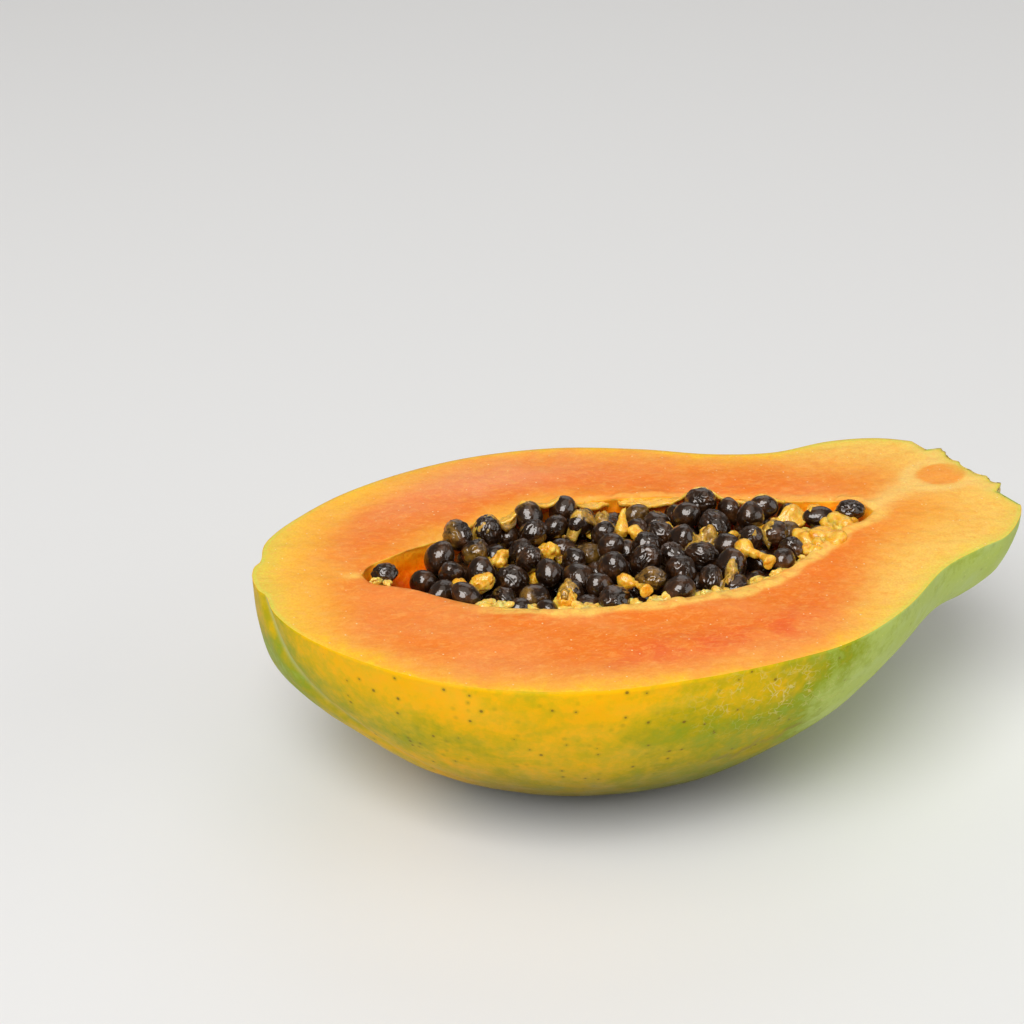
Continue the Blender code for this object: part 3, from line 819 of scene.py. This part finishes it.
def make_lower_seeds(material, taken):
    """The seeds under the visible ones, as high as they fit, in one piece of separate bodies."""
    rng = random.Random(5)
    points, faces = ball(4)
    all_points, all_faces, amber = [], [], []
    placed = []
    for room in LOWER_SEED_RADII:
        places = free_places(taken + placed, *LOWER_SEED_HEIGHTS, room, 0.8, rng)
        places = places[places[:, 0] > LOWER_SEEDS_FROM]
        while len(places):
            best = np.argmax(places[:, 2] + np.array([rng.random() * 0.6 for _ in range(len(places))]))
            centre = places[best]
            half = np.array([1.12, 0.98, 0.92]) * room * rng.uniform(1.0, 1.08)
            shaped = seed_surface(points, half, rng.random() < 0.3, len(placed) + 200)
            start = len(all_points) * len(points)
            all_points.append(place_surface(shaped, centre, random_turn(rng)))
            all_faces += [[index + start for index in face] for face in faces]
            amber.append(np.full(len(points), 0.5 if rng.random() < 0.2 else 0.0))
            placed.append((centre, room))
            places = places[np.linalg.norm(places - centre, axis=1) > 2 * room]
    piece = mesh_object("lower_seeds", np.vstack(all_points), all_faces, [material],
                        attributes={"amber": np.concatenate(amber)})
    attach(piece, "root")
    return placed


STALK_BEND = 0.16
# how thick an ovule is along its length: (place from -1 to 1, share of its full thickness)
CLUB = ((-1, 0), (-0.96, 0.80), (-0.78, 0.70), (-0.45, 0.36), (-0.1, 0.34), (0.2, 0.52), (0.45, 0.92),
        (0.66, 1.0), (0.88, 0.72), (1, 0))
SPIKE = ((-1, 0), (-0.9, 0.8), (-0.55, 1.0), (-0.1, 0.82), (0.4, 0.52), (0.8, 0.30), (1, 0))


def make_ovules(material):
    """Golden aborted ovules: crumpled lumps, clubs on a stalk, and a spike that stands up."""
    points, faces = ball(5)
    along = points[:, 0]
    round_share = np.sqrt(np.maximum(1 - along ** 2, 1e-4))
    lumps = []
    for number, node in enumerate(sorted(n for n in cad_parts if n.startswith("ovule_"))):
        middle, axes, half = read_lump(node)
        long = half[0] > 1.6 * half[1]
        steep = abs(axes[2, 0]) > 0.5
        if axes[2 if steep else 1, 0] < 0:
            axes = axes * np.array([-1, -1, 1])
        shaped = points * half
        if long:
            share, thickness = zip(*(SPIKE if steep else CLUB))
            shaped[:, 1:] *= (np.interp(along, share, thickness) / round_share)[:, None]
            shaped[:, 1] += STALK_BEND * half[0] * np.sin(2.6 * along)
        place = shaped + number * 11.0
        crumple = 0.34 * rough_noise(place, 1.7, 70 + number, 3)
        crumple = crumple + 0.22 * np.abs(soft_noise(place, 2.4, 80 + number))
        shaped = shaped + points * ((crumple - 0.10) * (1.1 if long else 1.5))[:, None]
        if not long:
            shaped[:, 1] *= 1.0 - 0.22 * bell(along, 0.1, 0.45)
        ovule = mesh_object(f"{node}_pulp", place_surface(shaped, middle, axes), faces, [material])
        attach(ovule, "root")
        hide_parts(node)
        steps = (-0.6, 0, 0.6) if long else (0,)
        lumps += [(middle + axes[:, 0] * half[0] * step, half[1]) for step in steps]
    return lumps


def scatter_lumps(name, material, places, rng, count, sizes, apart, flatness=1.0, rough=1.0):
    """Small crumpled lumps at some of the places, joined as one piece; returns where they lie.

    apart is the least distance between two lumps' middles, as a share of the first one's size."""
    points, faces = ball(4)
    all_points, all_faces, placed = [], [], []
    while len(places) and len(placed) < count:
        centre = places[rng.randrange(len(places))]
        size = rng.uniform(*sizes)
        long, wide, high = rng.uniform(1.1, 1.9), rng.uniform(0.7, 1.0), rng.uniform(0.6, 0.9)
        half = np.array([long, wide, high * flatness]) * size
        shaped = points * half
        place = shaped + len(placed) * 9.0
        crumple = 0.40 * rough_noise(place, size * 1.3, 90, 3)
        crumple = crumple + 0.25 * np.abs(soft_noise(place, size * 1.6, 95))
        shaped = shaped + points * ((crumple - 0.1) * size * rough)[:, None]
        start = len(all_points) * len(points)
        all_points.append(place_surface(shaped, centre, random_turn(rng, 0.6)))
        all_faces += [[index + start for index in face] for face in faces]
        placed.append((centre, size))
        places = places[np.linalg.norm(places - centre, axis=1) > apart * size]
    piece = mesh_object(name, np.vstack(all_points), all_faces, [material])
    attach(piece, "root")
    return placed


def make_pulp(gold, cream, taken):
    """Loose pulp: ragged bits along the near wall, a mass at the stem side, and bits among the seeds."""
    rng = random.Random(21)
    near = free_places(taken, -3.4, -0.6, 0.5, 0.7, rng, near_wall=1.6)
    middle = hollow_at(near[:, 0])[0]
    near = near[(near[:, 1] < middle - 2) & (near[:, 0] > 42) & (near[:, 0] < 112)]
    taken = taken + scatter_lumps("pulp_along_near_wall", cream, near, rng, 90, (0.5, 1.7), apart=0.7,
                                  flatness=0.7)
    stem_side = free_places(taken, -6.0, 0.2, 1.0, 0.7, rng)
    middle, half_width, _ = hollow_at(stem_side[:, 0])
    by_near_wall = stem_side[:, 1] < middle - half_width + 8
    stem_side = stem_side[(stem_side[:, 0] > 104) & (stem_side[:, 0] < 123) & by_near_wall]
    high = stem_side[:, 2] > -2.5
    taken = taken + scatter_lumps("pulp_at_stem_side", gold, stem_side[high], rng, 30, (1.1, 2.9), apart=0.75,
                                  flatness=0.8, rough=0.9)
    taken = taken + scatter_lumps("pulp_under_stem_side", gold, stem_side[~high], rng, 30, (1.4, 3.0),
                                  apart=0.8, flatness=0.9, rough=0.9)
    tip = free_places(taken, -2.5, 0.2, 0.3, 0.5, rng)
    tip = tip[(tip[:, 0] < 27.5) & (tip[:, 1] < -2.0)]
    taken = taken + scatter_lumps("pulp_at_blossom_tip", cream, tip, rng, 16, (0.4, 1.0), apart=0.8)
    between = free_places(taken, -3.5, -0.4, 0.9, 0.8, rng)
    between = between[between[:, 0] > 38]
    scatter_lumps("pulp_between_seeds", gold, between, rng, 24, (0.9, 1.8), apart=1.5, rough=0.8)


FILM_ROWS = 65
FILM_COLUMNS = 29
FILM_THICKNESS = 0.5
TAUTENING_STEPS = 45
# films that drape over the seeds: the points they pass over, half width and lowest height, in millimetres
FILMS = (
    (((64.0, 8.5), (67.5, 11.5), (71.0, 15.0), (73.5, 19.0)), 2.8, -3.0),
    (((88.5, -1.0), (92.5, 3.0), (97.0, 8.0)), 2.4, -3.0),
    (((61.5, -17.0), (62.4, -13.0), (63.2, -9.5)), 2.0, -3.0),
    (((45.5, 8.5), (49.5, 12.5), (54.5, 17.0)), 2.2, -3.0),
    (((93.5, -14.0), (96.0, -9.5), (97.5, -5.5)), 1.9, -3.0),
    (((102.0, 0.5), (105.5, 4.5), (108.5, 9.0)), 2.0, -3.0))
# and tissue that lies along the far wall behind them
WALL_TISSUE = (
    (((43.0, 12.6), (50.0, 16.4), (58.0, 19.6), (66.0, 22.0), (75.0, 23.6)), 2.8, -0.9),
    (((77.0, 23.4), (86.0, 23.3), (95.0, 21.8), (104.0, 20.0), (112.0, 18.2)), 3.0, -0.9),
    (((108.0, 12.5), (113.0, 13.5), (118.0, 15.5), (123.0, 16.0)), 2.6, -2.6))


def drape_height(places, lumps, lowest):
    """The height of the seeds' tops under each place, or lowest between them."""
    height = np.full(len(places), lowest)
    for centre, radius in lumps:
        gap = radius ** 2 - ((places[:, :2] - centre[:2]) ** 2).sum(1)
        top = centre[2] + np.sqrt(np.maximum(gap, 0))
        height = np.where(gap > 0, np.maximum(height, top), height)
    return height


def make_films(name, films, material, lumps, clearness=0.0):
    """Crumpled sheets drawn over the seeds along each film's route, clear and dark where they are thin."""
    rows, columns = FILM_ROWS, FILM_COLUMNS
    for number, (route, half_width, lowest) in enumerate(films, start=1):
        t = np.linspace(0, len(route) - 1, rows)
        line = smooth_through(np.array(route, float), t)
        run = np.gradient(line, axis=0)
        run /= np.linalg.norm(run, axis=1, keepdims=True)
        side = np.stack([-run[:, 1], run[:, 0]], -1)
        across = np.linspace(-1, 1, columns)
        spot = np.stack([t * 3, t * 0 + number * 7.0, t * 0], -1)
        width = half_width * (1 + 0.45 * rough_noise(spot, 2.0, 100 + number, 2)) * np.sqrt(np.sin(
            np.pi * np.clip(t / t[-1], 0.03, 0.97)))
        flat = line[:, None] + side[:, None] * (width[:, None] * across)[..., None]
        flat = flat.reshape(-1, 2)
        spots = np.column_stack([flat, flat[:, :1]])
        flat = flat + 0.35 * np.stack([soft_noise(spots, 1.4, seed) for seed in (7, 8)], -1)
        top = drape_height(flat, lumps, lowest).reshape(rows, columns)
        for _ in range(TAUTENING_STEPS):
            padded = np.pad(top, 1, mode="edge")
            smoother = (padded[:-2, 1:-1] + padded[2:, 1:-1] + padded[1:-1, :-2] + padded[1:-1, 2:]) / 4
            top = np.maximum(smoother, top)
        places = np.column_stack([flat, top.reshape(-1)])
        edge = np.tile(np.abs(across), rows)
        folds = 0.60 * np.abs(rough_noise(places * (1, 1, 0.2), 1.6, 110 + number, 3))
        upper = places + (0, 0, 0.10) + np.outer(np.sqrt(1 - edge ** 1.5) * (0.16 + folds), (0, 0, 1))
        thin = step_between(0.35, 0.05, folds) * 0.5 + 0.35 * step_between(0.6, 1.0, edge)
        thin = thin * clearness
        lower = places - (0, 0, FILM_THICKNESS)
        faces = []
        size = rows * columns
        for row in range(rows - 1):
            for column in range(columns - 1):
                a = row * columns + column
                quad = (a, a + 1, a + columns + 1, a + columns)
                faces.append(quad)
                faces.append(tuple(size + index for index in reversed(quad)))
        rim = list(range(columns))
        rim += [row * columns + columns - 1 for row in range(1, rows)]
        rim += [(rows - 1) * columns + column for column in range(columns - 2, -1, -1)]
        rim += [row * columns for row in range(rows - 2, 0, -1)]
        for a, b in zip(rim, rim[1:] + rim[:1]):
            faces.append((b, a, size + a, size + b))
        film = mesh_object(f"{name}_{number}", np.vstack([upper, lower]), faces, [material],
                           attributes={"thin": np.concatenate([thin, thin])})
        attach(film, "root")


# -------- stage
CAMERA_TARGET = (54.2, 20.7, 0.0)
CAMERA_AZIMUTH = -3.8
CAMERA_ELEVATION = 28.2
CAMERA_DISTANCE = 0.435
CAMERA_ROLL = -1.4
CAMERA_LENS = 72.2
# the softboxes: name, azimuth, elevation, distance and sides in metres, watts and colour
LIGHTS = (
    ("softbox", -27, 51, 2.4, (1.7, 1.7), 56.0, (1, 1, 1)),
    ("overhead", 30, 78, 3.0, (3.0, 3.0), 19.0, (1.0, 0.97, 0.92)),
    ("right_fill", 70, 18, 2.6, (2.4, 2.0), 18.0, (1, 1, 1)),
    ("back_fill", 165, 40, 3.0, (2.5, 2.0), 12.0, (1, 1, 1)))
LIT_POINT = Vector((0, 0, 0.035))
FLOOR_HALF_SIZE = 6.0
FLOOR_GAP = 0.0002


def aim(obj, target, roll=0.0):
    """Point an object's -z axis at the target, turned by roll about it."""
    back = (obj.location - Vector(target)).normalized()
    right = Vector((0, 0, 1)).cross(back).normalized()
    up = back.cross(right)
    turned_right = right * math.cos(roll) + up * math.sin(roll)
    turned_up = up * math.cos(roll) - right * math.sin(roll)
    obj.rotation_euler = Matrix((turned_right, turned_up, back)).transposed().to_euler()


def direction(azimuth, elevation):
    """A unit vector towards the viewer: azimuth 0 is in front, at -y, and 90 is at +x, in degrees."""
    a, e = math.radians(azimuth), math.radians(elevation)
    return Vector((math.sin(a) * math.cos(e), -math.cos(a) * math.cos(e), math.sin(e)))


def make_camera():
    data = bpy.data.cameras.new("camera")
    data.sensor_width = 36.0
    data.lens = CAMERA_LENS
    data.clip_start = 0.01
    camera = new_object("camera", data)
    target = Vector(to_frame(CAMERA_TARGET))
    camera.location = target + direction(CAMERA_AZIMUTH, CAMERA_ELEVATION) * CAMERA_DISTANCE
    aim(camera, target, math.radians(CAMERA_ROLL))
    bpy.context.scene.camera = camera


def make_light(name, azimuth, elevation, distance, size, power, colour):
    data = bpy.data.lights.new(name, "AREA")
    data.shape = "RECTANGLE"
    data.size, data.size_y = size
    data.energy = power
    data.color = colour
    light = new_object(name, data)
    light.location = LIT_POINT + direction(azimuth, elevation) * distance
    aim(light, LIT_POINT)


def make_stage():
    for light in LIGHTS:
        make_light(*light)
    world = bpy.data.worlds.new("studio")
    world.use_nodes = True
    world.node_tree.nodes["Background"].inputs["Color"].default_value = (1.0, 0.96, 0.90, 1.0)
    world.node_tree.nodes["Background"].inputs["Strength"].default_value = 0.12
    bpy.context.scene.world = world
    bpy.context.scene.view_settings.view_transform = "Standard"
    floor_surface = Surface("pale_floor")
    floor_surface.set(base_color=(0.78, 0.78, 0.78, 1.0), roughness=0.75)
    bm = bmesh.new()
    bmesh.ops.create_grid(bm, x_segments=1, y_segments=1, size=FLOOR_HALF_SIZE)
    mesh = bpy.data.meshes.new("floor")
    bm.to_mesh(mesh)
    bm.free()
    mesh.materials.append(floor_surface.material)
    floor = new_object("floor", mesh)
    floor.location = (0, 0, -FLOOR_GAP)


def main():
    make_camera()
    make_stage()
    make_fruit([skin_material(), flesh_material(), wall_material(), scar_material()])
    coat = seed_material()
    gold = pulp_material("golden_pulp", srgb(212, 130, 10), srgb(244, 176, 38), srgb(254, 216, 96))
    cream = pulp_material("cream_pulp", srgb(242, 160, 36), srgb(254, 196, 76), srgb(255, 228, 138))
    tissue = pulp_material("orange_tissue", srgb(238, 156, 36), srgb(252, 184, 58), srgb(255, 210, 100))
    film = pulp_material("amber_film", srgb(146, 102, 24), srgb(198, 148, 42), srgb(240, 200, 92))
    seeds = make_top_seeds(coat)
    taken = seeds + make_ovules(gold)
    taken += make_lower_seeds(coat, taken)
    make_films("seed_film", FILMS, film, taken, clearness=1.0)
    make_films("wall_tissue", WALL_TISSUE, tissue, taken)
    make_pulp(gold, cream, taken)


main()
